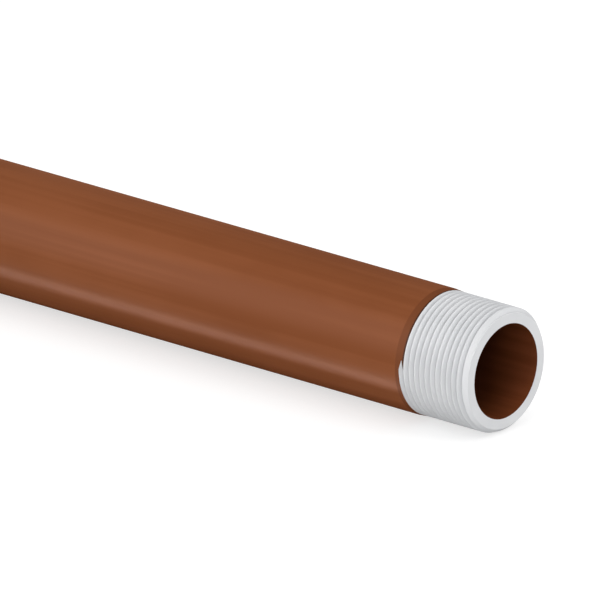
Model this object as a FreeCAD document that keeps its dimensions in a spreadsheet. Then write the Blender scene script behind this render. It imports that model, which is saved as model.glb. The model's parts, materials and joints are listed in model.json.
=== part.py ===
"""Threaded polypropylene pipe, nominal size 1 1/4, in three co-extruded layers.

A brown skin and a thin brown liner cover a thick white core. One end carries a right-hand parallel thread,
11 1/2 turns to the inch. Cutting it turned the skin away, so the core shows there, and the skin ends on the
far flank of the last groove. The other end is sawn square.

The row frame is in millimetres, with +Z up. The origin is on the axis, in the face of the threaded end,
and the pipe lies along -X, so +X points out of the threaded end.
"""

import FreeCAD
import Part

import os

import Sketcher
from FreeCAD import Vector

# Driving dimensions, in millimetres, degrees and turns.
SIZES = [
    ("pipe_length", 1000.0, "overall length"),
    ("outside_diameter", 42.2, "over the skin"),
    ("wall_thickness", 5.5, "all three layers"),
    ("skin_thickness", 0.3, "brown outer layer"),
    ("liner_thickness", 0.25, "brown inner layer"),
    ("turns_per_inch", 11.5, "of the thread"),
    ("flank_angle", 30.0, "each flank, from square to the axis, in degrees"),
    ("crest_flat", 0.3, "width of a crest"),
    ("root_flat", 0.12, "width of a groove's bottom"),
    ("thread_length", 25.5, "end face to where the skin begins"),
    ("last_groove_offset", 0.95, "full depth's end, past where the skin begins"),
    ("run_out_angle", 13.0, "turn over which the last groove rises out of the wall, in degrees"),
    ("skin_cone_length", 3.3, "turned cone over which the skin comes up to its full thickness"),
    ("bevel", 1.6, "45 degree bevel around the threaded end"),
    ("core_clearance", 0.1, "tool's top above the core"),
    ("skin_clearance", 0.4, "tool's top above the skin"),
    ("lead_turns", 1.25, "turns of the tool beyond the end face"),
    ("skin_turns", 0.96, "turn of the last groove that reaches the skin"),
]

# Sizes worked out from the driving dimensions.
DERIVED = [
    ("outer_radius", "outside_diameter / 2"),
    ("bore_radius", "outer_radius - wall_thickness"),
    ("core_inner_radius", "bore_radius + liner_thickness"),
    ("core_radius", "outer_radius - skin_thickness"),
    ("thread_step", "25.4 / turns_per_inch"),
    ("flank_slope", "tan(flank_angle * 1 deg)"),
    ("groove_width", "thread_step - crest_flat"),
    ("thread_depth", "(groove_width - root_flat) / 2 / flank_slope"),
    ("root_radius", "core_radius - thread_depth"),
    ("cone_end", "thread_length + skin_cone_length"),
    ("groove_end", "thread_length + last_groove_offset"),
    ("groove_run", "groove_end + lead_turns * thread_step"),
    ("core_tool_radius", "core_radius + core_clearance"),
    ("core_tool_half", "groove_width / 2 + core_clearance * flank_slope"),
    ("skin_tool_radius", "outer_radius + skin_clearance"),
    ("skin_tool_half", "groove_width / 2 + (skin_tool_radius - core_radius) * flank_slope"),
    ("lift", "skin_tool_radius - root_radius"),
    ("lift_shift", "thread_step * run_out_angle / 360"),
]

doc = FreeCAD.newDocument("polypropylene_pipe")
sheet = doc.addObject("Spreadsheet::Sheet", "sizes")


def fill_sheet():
    """One row for each size: what it is in column A, its value in column B under an alias."""
    rows = [(alias, repr(value), meaning) for alias, value, meaning in SIZES]
    rows += [(alias, "=" + formula, "worked out") for alias, formula in DERIVED]
    for row, (alias, content, meaning) in enumerate(rows, start=1):
        sheet.set(f"A{row}", meaning)
        sheet.set(f"B{row}", content)
        sheet.setAlias(f"B{row}", alias)
        doc.recompute()


def linked(formula):
    """The formula with each alias reached through the sheet."""
    for alias in sorted((entry[0] for entry in SIZES + DERIVED), key=len, reverse=True):
        formula = formula.replace(alias, f"<<sizes>>.{{{alias}}}")
    return formula.replace("{", "").replace("}", "")


def new_body(label):
    """An empty body; its Label is the node's name."""
    body = doc.addObject("PartDesign::Body", label)
    body.Label = label
    return body


def origin_part(body, role):
    """One of the body's own origin planes or axes."""
    return next(feature for feature in body.Origin.OriginFeatures if feature.Role == role)


def outline(body, name, corners, tilt=None):
    """A closed outline in the body's XY plane, turned about X by `tilt` if given.

    Each corner is a pair of formulas: its place along the axis, and across it.
    """
    sketch = body.newObject("Sketcher::SketchObject", name)
    sketch.AttachmentSupport = (origin_part(body, "XY_Plane"), [""])
    sketch.MapMode = "FlatFace"
    if tilt:
        sketch.AttachmentOffset = FreeCAD.Placement(Vector(), FreeCAD.Rotation(Vector(1, 0, 0), 1))
        sketch.setExpression("AttachmentOffset.Rotation.Angle", linked(tilt))
    values = [[sheet_value(formula) for formula in corner] for corner in corners]
    points = [Vector(along, across, 0) for along, across in values]
    for start, end in zip(points, points[1:] + points[:1]):
        sketch.addGeometry(Part.LineSegment(start, end), False)
    count = len(points)
    for i in range(count):
        sketch.addConstraint(Sketcher.Constraint("Coincident", i, 2, (i + 1) % count, 1))
    for i, corner in enumerate(corners):
        for kind, formula, value in zip(("DistanceX", "DistanceY"), corner, values[i]):
            index = sketch.addConstraint(Sketcher.Constraint(kind, -1, 1, i, 1, value))
            sketch.setExpression(f"Constraints[{index}]", linked(formula))
    return sketch


def sheet_value(formula):
    """What the formula comes to with the sheet's present sizes."""
    result = sheet.evalExpression(linked(formula))
    return float(getattr(result, "Value", result))


def turned(body, name, corners):
    """Turn an outline about the pipe's axis into a solid, in two half turns.

    Every wall is then divided along the same two lines, so thin layers have matching facets.
    """
    profile = outline(body, name + "_outline", corners)
    for half in ("_front", "_back"):
        feature = body.newObject("PartDesign::Revolution", name + half)
        feature.Profile = profile
        feature.ReferenceAxis = (origin_part(body, "X_Axis"), [""])
        feature.Angle = 180
        feature.Reversed = half == "_back"
        feature.Refine = False
        doc.recompute()


def tool(body, name, top_radius, top_half, shift="0", lift="0", tilt=None):
    """The thread tool's outline on the -Y side, at the end of the full depth.

    `shift` moves it away from the threaded end, `lift` takes it out of the wall.
    """
    centre = f"-groove_end - {shift}"
    return outline(
        body,
        name,
        [
            (f"{centre} - {top_half}", f"-{top_radius} - {lift}"),
            (f"{centre} + {top_half}", f"-{top_radius} - {lift}"),
            (f"{centre} + root_flat / 2", f"-root_radius - {lift}"),
            (f"{centre} - root_flat / 2", f"-root_radius - {lift}"),
        ],
        tilt,
    )


def cut_groove(body, name, top_radius, top_half, run):
    """Cut the right-hand helical groove, from its full depth's end toward the threaded end."""
    feature = body.newObject("PartDesign::SubtractiveHelix", name)
    feature.Profile = tool(body, name + "_tool", top_radius, top_half)
    feature.ReferenceAxis = (origin_part(body, "X_Axis"), [""])
    feature.Mode = "pitch-height-angle"
    feature.setExpression("Pitch", linked("thread_step * 1 mm"))
    feature.setExpression("Height", linked(f"({run}) * 1 mm"))
    feature.LeftHanded = False
    feature.Refine = False
    doc.recompute()
    return feature


def cut_run_out(body, name):
    """Cut the short wedge in which the tool rises out of the wall."""
    feature = body.newObject("PartDesign::SubtractiveLoft", name)
    sizes = ("skin_tool_radius", "skin_tool_half")
    feature.Profile = tool(body, name + "_deep", *sizes)
    feature.Sections = [tool(body, name + "_high", *sizes, "lift_shift", "lift", "-run_out_angle")]
    feature.Ruled = True
    feature.Refine = False
    doc.recompute()
    return feature


def cut_or_stop(body, cut, *arguments):
    """Make a cut and stop the run if it took nothing away."""
    before = body.Shape.Volume
    feature = cut(body, *arguments)
    if body.Shape.isNull() or body.Shape.Volume > before - 0.1:
        raise RuntimeError(f"{body.Label}: {feature.Name} cut nothing")


fill_sheet()

# Brown skin: a plain tube, and a turned cone down to the feather edge where the thread begins.
skin = new_body("outer_skin")
turned(skin, "skin_tube", [
    ("-cone_end", "core_radius"),
    ("-cone_end", "outer_radius"),
    ("-pipe_length", "outer_radius"),
    ("-pipe_length", "core_radius"),
])
turned(skin, "skin_cone", [
    ("-thread_length", "core_radius"),
    ("-cone_end", "outer_radius"),
    ("-cone_end", "core_radius"),
])
skin_cuts = ("skin_tool_radius", "skin_tool_half", "skin_turns * thread_step")
cut_or_stop(skin, cut_groove, "skin_groove", *skin_cuts)
cut_or_stop(skin, cut_run_out, "skin_run_out")

# White core: the wall itself, bevelled and threaded at the end.
core = new_body("white_core")
turned(core, "core_tube", [
    ("0", "core_inner_radius"),
    ("0", "core_radius - bevel"),
    ("-bevel", "core_radius"),
    ("-pipe_length", "core_radius"),
    ("-pipe_length", "core_inner_radius"),
])
cut_or_stop(core, cut_groove, "thread", "core_tool_radius", "core_tool_half", "groove_run")
cut_or_stop(core, cut_run_out, "thread_run_out")

# Brown liner: the bore's own layer, end to end.
liner = new_body("inner_liner")
turned(liner, "liner_tube", [
    ("0", "bore_radius"),
    ("0", "core_inner_radius"),
    ("-pipe_length", "core_inner_radius"),
    ("-pipe_length", "bore_radius"),
])

doc.recompute()
for item in doc.Objects:
    if "Invalid" in item.State or "Error" in item.State:
        raise RuntimeError(f"{item.Name}: {item.State}")

os.makedirs("parts", exist_ok=True)
for body in (skin, core, liner):
    if body.Shape.isNull() or not body.Shape.isValid() or len(body.Shape.Solids) != 1:
        raise RuntimeError(f"{body.Label}: not one valid solid")
    body.Shape.exportStep(f"parts/{body.Label}.step")
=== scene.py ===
"""Looks for the threaded polypropylene pipe: its three layers, a floor, lights and a camera.

Everything is in metres, in the CAD frame: the pipe lies along -X from the face of its threaded end, +Z up.
"""

import json
import math

import bmesh
import bpy
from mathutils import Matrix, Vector


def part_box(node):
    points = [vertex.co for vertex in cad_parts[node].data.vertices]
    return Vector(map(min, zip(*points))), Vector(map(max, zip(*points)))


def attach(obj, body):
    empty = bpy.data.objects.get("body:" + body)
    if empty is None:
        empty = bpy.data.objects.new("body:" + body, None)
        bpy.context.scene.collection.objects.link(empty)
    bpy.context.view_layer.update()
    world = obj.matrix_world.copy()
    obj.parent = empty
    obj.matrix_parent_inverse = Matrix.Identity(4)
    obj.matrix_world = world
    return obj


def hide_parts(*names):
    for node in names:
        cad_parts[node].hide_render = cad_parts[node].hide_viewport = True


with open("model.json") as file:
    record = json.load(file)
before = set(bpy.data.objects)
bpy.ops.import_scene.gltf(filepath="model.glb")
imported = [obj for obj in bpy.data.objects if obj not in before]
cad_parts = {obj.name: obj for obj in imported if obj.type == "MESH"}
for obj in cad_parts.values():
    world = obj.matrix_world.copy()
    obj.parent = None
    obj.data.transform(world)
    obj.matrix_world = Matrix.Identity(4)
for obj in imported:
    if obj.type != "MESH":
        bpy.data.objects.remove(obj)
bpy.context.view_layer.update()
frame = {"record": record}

MM = 0.001
TURN = 2 * math.pi

# Radii and ends, read from the frame.
LENGTH = -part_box("white_core")[0].x
OUTER_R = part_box("outer_skin")[1].y
CORE_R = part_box("white_core")[1].y
LINER_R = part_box("inner_liner")[1].y
BORE_R = next(m["dims"]["r_mm"] for m in frame["record"]["mounts"] if m["name"] == "bore") * MM
SKIN_START = -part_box("outer_skin")[1].x

# The thread, its bevel and the cone behind it, as the CAD cuts them.
PITCH = 25.4 / 11.5 * MM
FLANK = math.tan(math.radians(30))
CREST_FLAT = 0.3 * MM
ROOT_FLAT = 0.12 * MM
GROOVE_HALF = (PITCH - CREST_FLAT) / 2
ROOT_R = CORE_R - (GROOVE_HALF - ROOT_FLAT / 2) / FLANK
GROOVE_END = SKIN_START + 0.95 * MM
RUN_OUT = math.radians(13)
RUN_OUT_LIFT = OUTER_R + 0.4 * MM - ROOT_R
BEVEL = 1.6 * MM
CONE_LENGTH = 3.3 * MM

# For the looks alone: the round on cut edges, and the steps around the pipe.
EDGE_ROUND = 0.07 * MM
SEGMENTS = 320


# ---------------------------------------------------------------- meshes

def new_piece(name, mesh, slot, *nodes):
    """A visible piece of the pipe that stands for the CAD nodes named."""
    piece = bpy.data.objects.new(name, mesh)
    bpy.context.scene.collection.objects.link(piece)
    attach(piece, "root")
    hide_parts(*nodes)
    return piece


def finish_mesh(mesh, sharp_angle=28):
    """Smooth shading, with edges kept sharp above the angle."""
    mesh.polygons.foreach_set("use_smooth", [True] * len(mesh.polygons))
    mesh.set_sharp_from_angle(angle=math.radians(sharp_angle))
    mesh.update()


def on_axis(x, radius, angle):
    """A point beside the axis; the angle runs from +Y toward +Z."""
    return Vector((x, radius * math.cos(angle), radius * math.sin(angle)))


def bridge(bm, ring, following):
    """Faces between two rings with the same number of points."""
    count = len(ring)
    for i in range(count):
        j = (i + 1) % count
        bm.faces.new((ring[i], ring[j], following[j], following[i]))


def closed_mesh(bm, name):
    """The mesh of a closed skin, with its faces turned outward."""
    bmesh.ops.recalc_face_normals(bm, faces=bm.faces)
    mesh = bpy.data.meshes.new(name)
    bm.to_mesh(mesh)
    bm.free()
    return mesh


def lathe(name, profile):
    """Turn a closed profile of (x, radius) points about the axis."""
    bm = bmesh.new()
    rings = [
        [bm.verts.new(on_axis(x, r, TURN * i / SEGMENTS)) for i in range(SEGMENTS)] for x, r in profile
    ]
    for ring, following in zip(rings, rings[1:] + rings[:1]):
        bridge(bm, ring, following)
    return closed_mesh(bm, name)


def smooth_min(a, b, radius=EDGE_ROUND):
    """The smaller of two heights, rounded where they meet."""
    blend = max(radius - abs(a - b), 0) / radius
    return min(a, b) - blend * blend * radius / 4


def tool_bottom(offset, lift):
    """Radius of the thread tool's face, `offset` from its middle along the axis."""
    return ROOT_R + lift + max(abs(offset) - ROOT_FLAT / 2, 0) / FLANK


def core_radius_at(x, offset, lift):
    """Radius of the threaded wall: the bar, its end bevel and the groove, whichever is lowest."""
    if x >= 0:
        return CORE_R - BEVEL
    radius = smooth_min(CORE_R, CORE_R - BEVEL - x)
    if lift is not None:
        radius = smooth_min(radius, tool_bottom(offset, lift))
    return radius


def thread_rows():
    """Offsets from a groove's middle, dense at the crest's edges and at the bottom."""
    # About tenths of a millimetre, scaled so that `edge` lies at the groove's edge.
    edge = 9.545
    side = [0.5, 1.2, 3.5, 6, 8.4, 9.1, 9.35, edge, 9.75, 10.1]
    side = [value * GROOVE_HALF / edge for value in side]
    return [-PITCH / 2] + [-value for value in reversed(side)] + side


def threaded_wall(bm):
    """The core's outside: helical rows that follow the thread, closed up to a ring at each end.

    Returns the ring at the end face and the ring behind the thread.
    """
    rows = thread_rows()
    turns = math.ceil(GROOVE_END / PITCH) + 1
    stack = [(turn, offset) for turn in range(-1, turns) for offset in rows]
    while stack[-2][0] * PITCH + stack[-2][1] - GROOVE_END > 0:
        stack.pop()
    columns = []
    for i in range(SEGMENTS):
        swing = TURN * i / SEGMENTS
        column = []
        for turn, offset in stack:
            x = min(-GROOVE_END + PITCH * (swing / TURN + turn) + offset, 0)
            lift = 0
            if turn < 0:
                left = (TURN - swing) / RUN_OUT
                lift = RUN_OUT_LIFT * left if left < 1 else None
            column.append(bm.verts.new(on_axis(x, core_radius_at(x, offset, lift), math.pi + swing)))
        columns.append(column)
    back = [
        bm.verts.new(on_axis(-GROOVE_END - 2.5 * PITCH, CORE_R, math.pi + TURN * i / SEGMENTS))
        for i in range(SEGMENTS)
    ]
    for i in range(SEGMENTS - 1):
        here, there = columns[i], columns[i + 1]
        bm.faces.new((back[i], back[i + 1], there[0], here[0]))
        for k in range(len(stack) - 1):
            bm.faces.new((here[k], there[k], there[k + 1], here[k + 1]))
    last, first, step = columns[-1], columns[0], len(rows)
    top = len(stack) - 1
    bm.faces.new([back[-1], back[0], *first[: step + 1], last[0]])
    for k in range(top):
        low, high = min(k + step, top), min(k + 1 + step, top)
        corners = (last[k], first[low], first[high], last[k + 1])
        bm.faces.new(corners if low != high else (last[k], first[low], last[k + 1]))
    return [column[-1] for column in columns], back


def ring_of(bm, x, radius):
    """A ring of points whose first lies where the thread's rows start."""
    return [bm.verts.new(on_axis(x, radius, math.pi + TURN * i / SEGMENTS)) for i in range(SEGMENTS)]


def core_mesh():
    """The white core as one closed skin: thread, plain wall, far end, inner wall and end face."""
    face_rim = 0.15 * MM
    same_point = 1e-7
    bm = bmesh.new()
    face_ring, back = threaded_wall(bm)
    rings = [
        back,
        ring_of(bm, -LENGTH + EDGE_ROUND, CORE_R),
        ring_of(bm, -LENGTH, CORE_R - EDGE_ROUND),
        ring_of(bm, -LENGTH, LINER_R),
        ring_of(bm, 0, LINER_R),
        ring_of(bm, 0, CORE_R - BEVEL - face_rim),
        face_ring,
    ]
    for ring, following in zip(rings, rings[1:]):
        bridge(bm, ring, following)
    bmesh.ops.remove_doubles(bm, verts=bm.verts, dist=same_point)
    mesh = closed_mesh(bm, "core_wall")
    finish_mesh(mesh)
    return mesh


def liner_mesh():
    """The brown liner, with a small radius at each mouth of the bore."""
    mouth = 0.18 * MM
    front = [(0, LINER_R), (0, BORE_R + mouth), (-0.3 * mouth, BORE_R + 0.3 * mouth), (-mouth, BORE_R)]
    back = [(-LENGTH - x, r) for x, r in reversed(front)]
    mesh = lathe("liner_wall", front + back)
    finish_mesh(mesh, 40)
    return mesh


def groove_tool():
    """The last turn of the thread tool as a closed solid, rising out of the wall at its start."""
    top = OUTER_R + 0.6 * MM
    steps = 356
    full_depth = math.radians(340)
    sweep = full_depth + RUN_OUT
    bm = bmesh.new()
    sections = []
    for i in range(steps + 1):
        swing = -RUN_OUT + sweep * i / steps
        lift = RUN_OUT_LIFT * max(-swing, 0) / RUN_OUT
        middle = -GROOVE_END + PITCH * swing / TURN
        half = ROOT_FLAT / 2 + (top - ROOT_R) * FLANK
        outline = ((-half, top), (half, top), (ROOT_FLAT / 2, ROOT_R), (-ROOT_FLAT / 2, ROOT_R))
        sections.append([
            bm.verts.new(on_axis(middle + along, radius + lift, math.pi + swing)) for along, radius in outline
        ])
    for section, following in zip(sections, sections[1:]):
        bridge(bm, section, following)
    bm.faces.new(sections[0])
    bm.faces.new(sections[-1])
    return closed_mesh(bm, "groove_tool")


def skin_mesh():
    """The brown skin: its cone and tube, cut by the thread's last turn."""
    lip = 0.012 * MM
    shoulder, shoulder_drop = 0.12 * MM, 0.03 * MM
    rim, rim_inset = 0.15 * MM, 0.04 * MM
    cone_end = SKIN_START + CONE_LENGTH
    blank = bpy.data.objects.new("skin_blank", lathe("skin_blank", [
        (-SKIN_START, CORE_R),
        (-SKIN_START, CORE_R + lip),
        (-cone_end, OUTER_R - shoulder_drop),
        (-cone_end - shoulder, OUTER_R),
        (-LENGTH + rim, OUTER_R),
        (-LENGTH + rim_inset, OUTER_R - rim_inset),
        (-LENGTH, OUTER_R - rim),
        (-LENGTH, CORE_R),
    ]))
    tool = bpy.data.objects.new("groove_tool", groove_tool())
    for thing in (blank, tool):
        bpy.context.scene.collection.objects.link(thing)
    cut = blank.modifiers.new("cut", "BOOLEAN")
    cut.operation = "DIFFERENCE"
    cut.solver = "EXACT"
    cut.object = tool
    evaluated = blank.evaluated_get(bpy.context.evaluated_depsgraph_get())
    mesh = bpy.data.meshes.new_from_object(evaluated)
    mesh.name = "skin_wall"
    for thing in (blank, tool):
        bpy.data.objects.remove(thing)
    bm = bmesh.new()
    bm.from_mesh(mesh)
    sliver = 0.002 * MM
    bmesh.ops.remove_doubles(bm, verts=bm.verts, dist=sliver)
    bmesh.ops.triangulate(bm, faces=[face for face in bm.faces if len(face.verts) > 4])
    bmesh.ops.dissolve_degenerate(bm, dist=sliver, edges=bm.edges)
    bm.to_mesh(mesh)
    bm.free()
    finish_mesh(mesh)
    return mesh


# ---------------------------------------------------------------- materials

def combine(tree, operation, first, second):
    """A math node's result; each input is another node's output or a number."""
    node = tree.nodes.new("ShaderNodeMath")
    node.operation = operation
    for socket, value in zip(node.inputs, (first, second)):
        if isinstance(value, (int, float)):
            socket.default_value = value
        else:
            tree.links.new(value, socket)
    return node.outputs[0]


class Shader:
    """A material's node tree, with short ways to add and join nodes."""

    def __init__(self, name):
        self.material = bpy.data.materials.new(name)
        self.material.use_nodes = True
        self.tree = self.material.node_tree
        self.surface = self.tree.nodes["Principled BSDF"]
        self.place = self.add("ShaderNodeTexCoord").outputs["Object"]

    def add(self, kind, **settings):
        node = self.tree.nodes.new(kind)
        for key, value in settings.items():
            setattr(node, key, value)
        return node

    def join(self, source, target):
        self.tree.links.new(source, target)

    def math(self, operation, first, second=0.0):
        return combine(self.tree, operation, first, second)

    def axes(self):
        node = self.add("ShaderNodeSeparateXYZ")
        self.join(self.place, node.inputs[0])
        return node.outputs

    def noise(self, scale, detail=3.0, rough=0.5):
        """Noise over the object, with its own scale along each axis, in cells per metre."""
        stretch = self.add("ShaderNodeMapping")
        stretch.inputs["Scale"].default_value = scale
        self.join(self.place, stretch.inputs["Vector"])
        node = self.add("ShaderNodeTexNoise")
        node.inputs["Scale"].default_value = 1.0
        node.inputs["Detail"].default_value = detail
        node.inputs["Roughness"].default_value = rough
        self.join(stretch.outputs[0], node.inputs["Vector"])
        return node.outputs["Fac"]

    def line_noise(self, value, scale):
        """Noise along one value, in cells per metre."""
        node = self.add("ShaderNodeTexNoise", noise_dimensions="1D")
        node.inputs["Scale"].default_value = scale
        node.inputs["Detail"].default_value = 3.0
        self.join(value, node.inputs["W"])
        return node.outputs["Fac"]

    def span(self, value, low, high, to_low=0.0, to_high=1.0):
        node = self.add("ShaderNodeMapRange", interpolation_type="SMOOTHSTEP")
        self.join(value, node.inputs["Value"])
        for socket, number in zip(node.inputs[1:5], (low, high, to_low, to_high)):
            socket.default_value = number
        return node.outputs[0]

    def mix(self, factor, first, second):
        node = self.add("ShaderNodeMix", data_type="RGBA")
        for socket, value in zip((node.inputs[0], node.inputs[6], node.inputs[7]), (factor, first, second)):
            if isinstance(value, (int, float, tuple)):
                socket.default_value = value
            else:
                self.join(value, socket)
        return node.outputs[2]

    def bump(self, height, distance, strength=1.0, below=None):
        node = self.add("ShaderNodeBump")
        node.inputs["Strength"].default_value = strength
        node.inputs["Distance"].default_value = distance
        self.join(height, node.inputs["Height"])
        if below:
            self.join(below, node.inputs["Normal"])
        return node.outputs[0]

    def set(self, **values):
        for name, value in values.items():
            socket = self.surface.inputs[name.replace("_", " ")]
            if isinstance(value, (int, float, tuple)):
                socket.default_value = value
            else:
                self.join(value, socket)

    def plastic(self, colour, rough, normal):
        """A matt body under a thin smooth film, which gives all the shine."""
        self.set(Base_Color=colour, Roughness=rough, Coat_Roughness=rough, Normal=normal, Coat_Normal=normal)
        self.set(Specular_IOR_Level=0.0, Coat_Weight=0.06, Coat_IOR=1.49)


def brown_skin_material():
    """Extruded satin brown: faint streaks along the pipe, a turned cone behind the thread darkened with
    painted shade, and a painted shadow line where the skin meets the thread.
    """
    shader = Shader("brown_skin")
    brown = (0.203, 0.0622, 0.0218, 1)
    pale = (0.240, 0.0775, 0.0295, 1)
    cone_shade = (0.168, 0.052, 0.0190, 1)
    edge = (0.060, 0.023, 0.012, 1)
    streaks = shader.noise((3, 260, 260), 4)
    clouds = shader.noise((14, 30, 30), 3)
    mottle = shader.span(shader.math("MULTIPLY", streaks, clouds), 0.14, 0.38)
    colour = shader.mix(mottle, brown, pale)
    x = shader.axes()["X"]
    cone = shader.span(x, -(SKIN_START + CONE_LENGTH) - 0.1 * MM, -(SKIN_START + CONE_LENGTH) + 0.25 * MM)
    # Painted shade: the turned cone's brown is darkened for the shade its tilt gives it.
    colour = shader.mix(cone, colour, cone_shade)
    # Painted shadow: a dark line on the last 0.4 to 0.85 mm of the skin, where it meets the white thread.
    edge_shadow_mask = shader.span(x, -SKIN_START - 0.85 * MM, -SKIN_START - 0.4 * MM)
    colour = shader.mix(edge_shadow_mask, colour, edge)
    rough = shader.span(streaks, 0.3, 0.7, 0.32, 0.38)
    rough = shader.math("ADD", rough, shader.math("MULTIPLY", cone, 0.14))
    grain = shader.bump(shader.noise((900, 1500, 1500), 2), 0.004 * MM, 0.5)
    lines = shader.bump(streaks, 0.03 * MM, 0.6, grain)
    shader.plastic(colour, rough, lines)
    return shader.material


def white_core_material():
    """Cut white plastic: cool, satin, with fine turning marks."""
    shader = Shader("white_core")
    clouds = shader.noise((60, 60, 60), 3)
    colour = shader.mix(shader.span(clouds, 0.3, 0.7), (0.660, 0.668, 0.682, 1), (0.702, 0.708, 0.720, 1))
    x, y, z = shader.axes()
    marks = shader.noise((9000, 180, 180), 2)
    grain = shader.noise((2500, 2500, 2500), 2)
    rough = shader.span(grain, 0.3, 0.7, 0.40, 0.50)
    normal = shader.bump(marks, 0.006 * MM, 0.5, shader.bump(grain, 0.004 * MM, 0.5))
    # Tool rings on the threaded end's face, straight saw marks on the other.
    squares = [shader.math("MULTIPLY", side, side) for side in (y, z)]
    radius = shader.math("SQRT", shader.math("ADD", *squares))
    rings = shader.math("MULTIPLY", shader.line_noise(radius, 2600), shader.span(x, -0.06 * MM, -0.02 * MM))
    normal = shader.bump(rings, 0.02 * MM, 0.6, normal)
    slant = shader.math("ADD", y, shader.math("MULTIPLY", z, 0.25))
    far_face = shader.span(x, -LENGTH + 0.06 * MM, -LENGTH + 0.02 * MM)
    saw = shader.math("MULTIPLY", shader.line_noise(slant, 1500), far_face)
    normal = shader.bump(saw, 0.06 * MM, 0.8, normal)
    shader.plastic(colour, rough, normal)
    return shader.material


def brown_liner_material():
    """Darker brown of the bore, with drawn streaks: the liner's own brown, painted darker still as the deep
    bore's shade.
    """
    shader = Shader("brown_liner")
    streaks = shader.noise((4, 320, 320), 4)
    # Painted shade: both tones are darker than the liner's own brown, so that the deep bore reads dark.
    dark = (0.078, 0.0200, 0.0062, 1)
    light = (0.094, 0.0255, 0.0088, 1)
    colour = shader.mix(shader.span(streaks, 0.3, 0.7), dark, light)
    rough = shader.span(streaks, 0.3, 0.7, 0.30, 0.38)
    drawn = shader.bump(streaks, 0.03 * MM, 0.5)
    shader.plastic(colour, rough, drawn)
    return shader.material


# ---------------------------------------------------------------- stage, light and camera

VIEW_AZIMUTH, VIEW_ELEVATION = math.radians(40), math.radians(20)
VIEW_WIDTH = 0.1922
END_RIGHT, END_BELOW = 0.06596, 0.02283
LENS = 1500.0
FLOOR_GREY = 0.5
FLOOR_GLOW = 0.645
SKY = 0.75


def add_camera():
    """A long lens, near to parallel, with the threaded end right of and below the middle of the view."""
    turn, rise = VIEW_AZIMUTH, VIEW_ELEVATION
    back = Vector((math.sin(turn) * math.cos(rise), -math.cos(turn) * math.cos(rise), math.sin(rise)))
    right = Vector((math.cos(turn), math.sin(turn), 0))
    up = back.cross(right)
    data = bpy.data.cameras.new("camera")
    data.lens = LENS
    distance = VIEW_WIDTH * LENS / data.sensor_width
    data.clip_start, data.clip_end = 0.1, 100
    camera = bpy.data.objects.new("camera", data)
    camera.location = back * distance - right * END_RIGHT + up * END_BELOW
    camera.rotation_mode = "QUATERNION"
    camera.rotation_quaternion = (-back).to_track_quat("-Z", "Y")
    bpy.context.scene.collection.objects.link(camera)
    bpy.context.scene.camera = camera


def seen_directly(tree, mirrored=1.0):
    """1 where the camera looks straight at the surface, and `mirrored` where a reflection shows it."""
    rays = tree.nodes.new("ShaderNodeLightPath").outputs
    reflected = combine(tree, "MAXIMUM", rays["Is Glossy Ray"], rays["Is Transmission Ray"])
    return combine(tree, "MAXIMUM", rays["Is Camera Ray"], combine(tree, "MULTIPLY", reflected, mirrored))


def painted_shadow_fade(tree):
    """0 on the floor under the pipe, where its own shade lies, rising to 1 beside it: a painted shadow in the
    floor's glow.
    """
    place = tree.nodes.new("ShaderNodeSeparateXYZ")
    tree.links.new(tree.nodes.new("ShaderNodeNewGeometry").outputs["Position"], place.inputs[0])
    rise = tree.nodes.new("ShaderNodeMapRange")
    rise.interpolation_type = "SMOOTHSTEP"
    tree.links.new(combine(tree, "ABSOLUTE", place.outputs["Y"], 0), rise.inputs["Value"])
    rise.inputs["From Min"].default_value = 0.6 * OUTER_R
    rise.inputs["From Max"].default_value = 2.2 * OUTER_R
    return rise.outputs[0]


def add_floor():
    """A wide pale floor at the pipe's underside. It reads white, and keeps the pipe's shadow."""
    half = 60
    bm = bmesh.new()
    corners = [(-half, -half), (half, -half), (half, half), (-half, half)]
    bm.faces.new([bm.verts.new((x, y, -OUTER_R)) for x, y in corners])
    mesh = bpy.data.meshes.new("floor")
    bm.to_mesh(mesh)
    bm.free()
    floor = bpy.data.objects.new("floor", mesh)
    bpy.context.scene.collection.objects.link(floor)
    material = bpy.data.materials.new("floor")
    material.use_nodes = True
    tree = material.node_tree
    surface = tree.nodes["Principled BSDF"]
    surface.inputs["Base Color"].default_value = (FLOOR_GREY, FLOOR_GREY, FLOOR_GREY, 1)
    surface.inputs["Roughness"].default_value = 1.0
    surface.inputs["Specular IOR Level"].default_value = 0.0
    surface.inputs["Emission Color"].default_value = (1, 1, 1, 1)
    # Painted shadow: reflections see no glow on the floor right under the pipe.
    glow = combine(tree, "MULTIPLY", seen_directly(tree, painted_shadow_fade(tree)), FLOOR_GLOW)
    tree.links.new(glow, surface.inputs["Emission Strength"])
    mesh.materials.append(material)


def add_sky():
    """White behind everything, and a softer even light on it."""
    world = bpy.data.worlds.new("sky")
    bpy.context.scene.world = world
    world.use_nodes = True
    tree = world.node_tree
    background = tree.nodes["Background"]
    background.inputs["Color"].default_value = (1, 1, 1, 1)
    level = tree.nodes.new("ShaderNodeMapRange")
    tree.links.new(seen_directly(tree), level.inputs["Value"])
    level.inputs["To Min"].default_value = SKY
    level.inputs["To Max"].default_value = 1.0
    tree.links.new(level.outputs[0], background.inputs["Strength"])


def softbox(name, place, aim, size, radiance, lights="both"):
    """An evenly bright rectangular lamp, facing `aim`: it lights walls, shows in the gloss, or both."""
    data = bpy.data.lights.new(name, "AREA")
    data.shape = "RECTANGLE"
    data.size, data.size_y = size
    data.energy = radiance * 4 * size[0] * size[1]
    lamp = bpy.data.objects.new(name, data)
    lamp.location = place
    direction = Vector(aim) - Vector(place)
    lamp.rotation_mode = "QUATERNION"
    lamp.rotation_quaternion = direction.to_track_quat("-Z", "Y")
    lamp.visible_camera = False
    lamp.visible_diffuse = lights != "gloss"
    lamp.visible_glossy = lights != "walls"
    bpy.context.scene.collection.objects.link(lamp)
    return lamp


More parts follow.
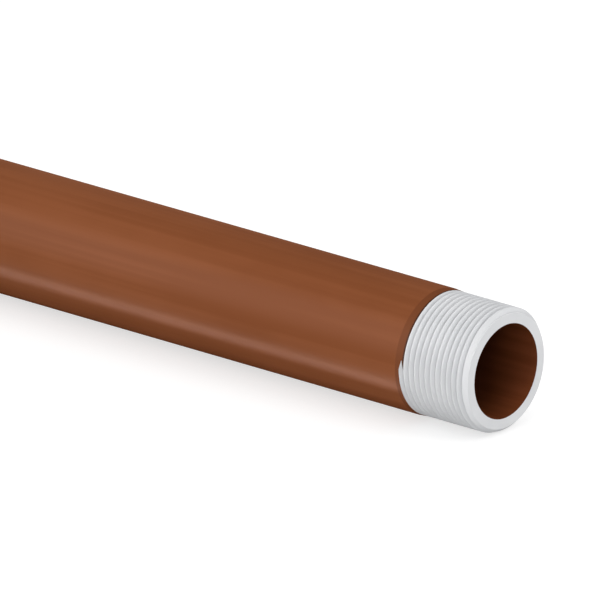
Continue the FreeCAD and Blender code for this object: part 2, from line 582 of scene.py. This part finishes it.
def light_only(lamps, piece, state):
    """Lamps that light nothing but the piece (INCLUDE), or everything but the piece (EXCLUDE)."""
    lit = bpy.data.collections.new(f"{piece.name}_{state.lower()}")
    lit.objects.link(piece)
    lit.collection_objects[0].light_linking.link_state = state
    for lamp in lamps:
        lamp.light_linking.receiver_collection = lit


def add_lights(lining):
    """Soft light from the front and the open end, and two cards that only the gloss shows."""
    softbox("low_front", (-0.3, -2.0, 0.08), (-0.3, 0, 0), (3.4, 0.18), 4.7, "walls")
    softbox("low_back", (-0.3, 2.0, 0.08), (-0.3, 0, 0), (3.4, 0.18), 3.3, "walls")
    outside = [softbox("end", (3.0, -0.4, 0.35), (0, 0, 0), (1.2, 1.2), 1.56, "walls"),
               softbox("side", (1.6, -1.5, 0.2), (0, 0, 0), (0.8, 0.4), 9.2, "walls"),
               softbox("high_end", (1.8, 0.2, 1.6), (0, 0, 0), (0.8, 0.8), 2.94, "walls"),
               softbox("far_end", (-LENGTH - 2.3, -0.7, 0.9), (-LENGTH, 0, 0), (1.2, 1.2), 3.5, "walls")]
    inside = [softbox("mouth_front", (-0.3, -2.2, 0.5), (-0.3, 0, 0), (3.4, 1.0), 5.3, "walls"),
              softbox("mouth_top", (-0.3, 0.2, 2.2), (-0.3, 0, 0), (3.0, 1.6), 3.8, "walls")]
    # The end lamps would shine straight down the bore, which stays in its own shade.
    light_only(outside, lining, "EXCLUDE")
    light_only(inside, lining, "INCLUDE")
    softbox("wide_card", (-0.5, -1.8, 1.0), (-0.5, 0, 0), (7.0, 1.9), 5.8, "gloss")
    strip = (-0.5, -1.47 * OUTER_R, -0.95 * OUTER_R)
    softbox("low_strip", strip, strip[:2] + (1,), (2.4, 0.007), 20.5, "gloss")


# ---------------------------------------------------------------- the scene

core = new_piece("threaded_core", core_mesh(), "white_core", "white_core")
core.data.materials.append(white_core_material())
liner = new_piece("bore_liner", liner_mesh(), "brown_liner", "inner_liner")
liner.data.materials.append(brown_liner_material())
skin = new_piece("brown_wall", skin_mesh(), "brown_skin", "outer_skin")
skin.data.materials.clear()
skin.data.materials.append(brown_skin_material())

add_camera()
add_floor()
add_sky()
add_lights(liner)
bpy.context.scene.view_settings.view_transform = "Standard"
